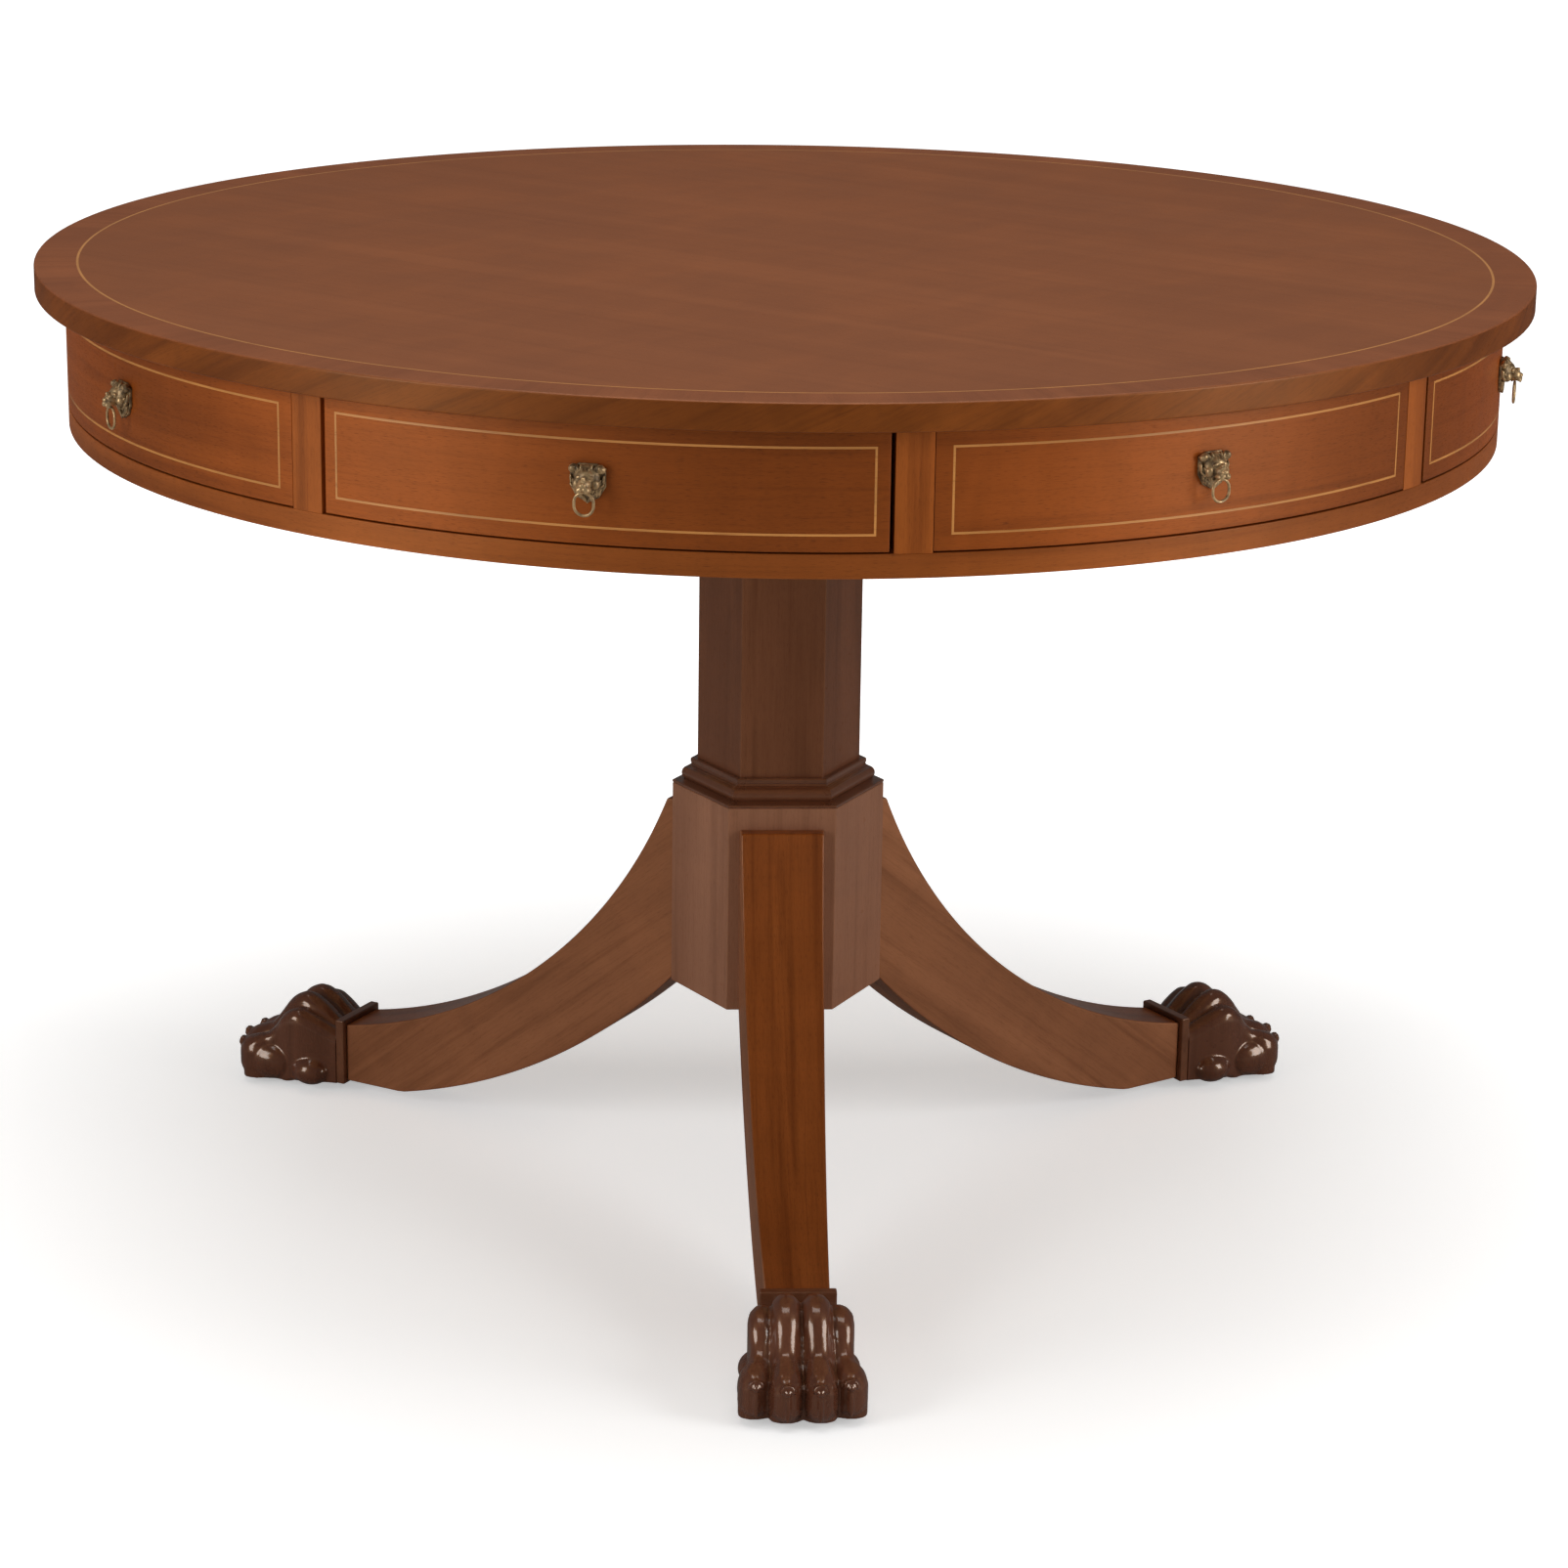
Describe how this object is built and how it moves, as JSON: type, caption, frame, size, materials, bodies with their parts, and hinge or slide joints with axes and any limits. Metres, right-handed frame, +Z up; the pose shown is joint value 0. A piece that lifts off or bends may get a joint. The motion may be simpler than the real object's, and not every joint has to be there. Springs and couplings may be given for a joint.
{
  "type": "drum library table",
  "caption": "Round revolving drum table with curved drawers and dummy fronts, ring pulls, a hexagonal column and carved paw feet.",
  "frame": {"origin": "on the axis of the column at floor level", "axes": "+Z up; the front drawer opens towards -Y, the right drawer towards +X"},
  "size_m": [1.1498, 1.15, 0.762],
  "materials": {
    "top_wood": "satin varnish over mahogany veneer",
    "front_wood": "satin varnish over straight-grained mahogany",
    "rail_wood": "satin varnish over mahogany",
    "light_line": "varnished boxwood",
    "inner_wood": "bare planed pine",
    "column_wood": "satin varnish over dark mahogany",
    "leg_wood": "satin varnish over mahogany",
    "paw_wood": "high gloss dark varnish over carved mahogany",
    "aged_brass": "cast brass with a dark patina in its recesses",
    "iron": "dark oiled iron"
  },
  "bodies": {
    "pedestal": {"column": "column_wood", "column_moulding": "column_wood", "leg_block": "column_wood", "cap_board": "column_wood", "leg_front": "leg_wood", "leg_right": "leg_wood", "leg_left": "leg_wood", "foot_collars": "column_wood", "paw_front": "paw_wood", "paw_right": "paw_wood", "paw_left": "paw_wood", "under_plate": "iron", "base_screws": "iron", "lower_bearing_plate": "iron", "king_bolt": "iron"},
    "drum": {"top_panel": "top_wood", "top_stringing": "light_line", "top_crossband": "top_wood", "drum_base_board": "inner_wood", "drum_rail": "rail_wood", "drum_stiles": "rail_wood", "drawer_guides": "inner_wood", "drawer_stops": "inner_wood", "dummy_fronts": "front_wood", "dummy_stringing": "light_line", "dummy_pull_masks": "aged_brass", "upper_bearing_plate": "iron", "drum_screws": "iron"},
    "front_drawer": {"front_drawer_front": "front_wood", "front_drawer_stringing": "light_line", "front_drawer_sides": "inner_wood", "front_drawer_back": "inner_wood", "front_drawer_bottom": "inner_wood", "front_drawer_pull_mask": "aged_brass"},
    "right_drawer": {"right_drawer_front": "front_wood", "right_drawer_stringing": "light_line", "right_drawer_sides": "inner_wood", "right_drawer_back": "inner_wood", "right_drawer_bottom": "inner_wood", "right_drawer_pull_mask": "aged_brass"},
    "back_drawer": {"back_drawer_front": "front_wood", "back_drawer_stringing": "light_line", "back_drawer_sides": "inner_wood", "back_drawer_back": "inner_wood", "back_drawer_bottom": "inner_wood", "back_drawer_pull_mask": "aged_brass"},
    "left_drawer": {"left_drawer_front": "front_wood", "left_drawer_stringing": "light_line", "left_drawer_sides": "inner_wood", "left_drawer_back": "inner_wood", "left_drawer_bottom": "inner_wood", "left_drawer_pull_mask": "aged_brass"},
    "front_drawer_pull_ring": {"front_drawer_ring": "aged_brass"},
    "right_drawer_pull_ring": {"right_drawer_ring": "aged_brass"},
    "back_drawer_pull_ring": {"back_drawer_ring": "aged_brass"},
    "left_drawer_pull_ring": {"left_drawer_ring": "aged_brass"},
    "front_right_dummy_pull_ring": {"front_right_dummy_ring": "aged_brass"},
    "back_right_dummy_pull_ring": {"back_right_dummy_ring": "aged_brass"},
    "back_left_dummy_pull_ring": {"back_left_dummy_ring": "aged_brass"},
    "front_left_dummy_pull_ring": {"front_left_dummy_ring": "aged_brass"}
  },
  "joints": [
    {"name": "drum_turn", "type": "hinge", "parent": "pedestal", "child": "drum", "pos_m": [0, 0, 0.638], "axis": [0, 0, 1], "continuous": true},
    {"name": "front_drawer_slide", "type": "slide", "parent": "drum", "child": "front_drawer", "axis": [0, -1, 0], "range_m": [0, 0.24]},
    {"name": "right_drawer_slide", "type": "slide", "parent": "drum", "child": "right_drawer", "axis": [1, 0, 0], "range_m": [0, 0.24]},
    {"name": "back_drawer_slide", "type": "slide", "parent": "drum", "child": "back_drawer", "axis": [0, 1, 0], "range_m": [0, 0.24]},
    {"name": "left_drawer_slide", "type": "slide", "parent": "drum", "child": "left_drawer", "axis": [-1, 0, 0], "range_m": [0, 0.24]},
    {"name": "front_drawer_ring_swing", "type": "hinge", "parent": "front_drawer", "child": "front_drawer_pull_ring", "pos_m": [0, -0.564, 0.6943], "axis": [-1, 0, 0], "range_deg": [-20, 90]},
    {"name": "right_drawer_ring_swing", "type": "hinge", "parent": "right_drawer", "child": "right_drawer_pull_ring", "pos_m": [0.564, 0, 0.6943], "axis": [0, -1, 0], "range_deg": [-20, 90]},
    {"name": "back_drawer_ring_swing", "type": "hinge", "parent": "back_drawer", "child": "back_drawer_pull_ring", "pos_m": [0, 0.564, 0.6943], "axis": [1, 0, 0], "range_deg": [-20, 90]},
    {"name": "left_drawer_ring_swing", "type": "hinge", "parent": "left_drawer", "child": "left_drawer_pull_ring", "pos_m": [-0.564, 0, 0.6943], "axis": [0, 1, 0], "range_deg": [-20, 90]},
    {"name": "front_right_dummy_ring_swing", "type": "hinge", "parent": "drum", "child": "front_right_dummy_pull_ring", "pos_m": [0.39881, -0.39881, 0.6943], "axis": [-0.7071, -0.7071, 0], "range_deg": [-20, 90]},
    {"name": "back_right_dummy_ring_swing", "type": "hinge", "parent": "drum", "child": "back_right_dummy_pull_ring", "pos_m": [0.39881, 0.39881, 0.6943], "axis": [0.7071, -0.7071, 0], "range_deg": [-20, 90]},
    {"name": "back_left_dummy_ring_swing", "type": "hinge", "parent": "drum", "child": "back_left_dummy_pull_ring", "pos_m": [-0.39881, 0.39881, 0.6943], "axis": [0.7071, 0.7071, 0], "range_deg": [-20, 90]},
    {"name": "front_left_dummy_ring_swing", "type": "hinge", "parent": "drum", "child": "front_left_dummy_pull_ring", "pos_m": [-0.39881, -0.39881, 0.6943], "axis": [-0.7071, 0.7071, 0], "range_deg": [-20, 90]}
  ]
}
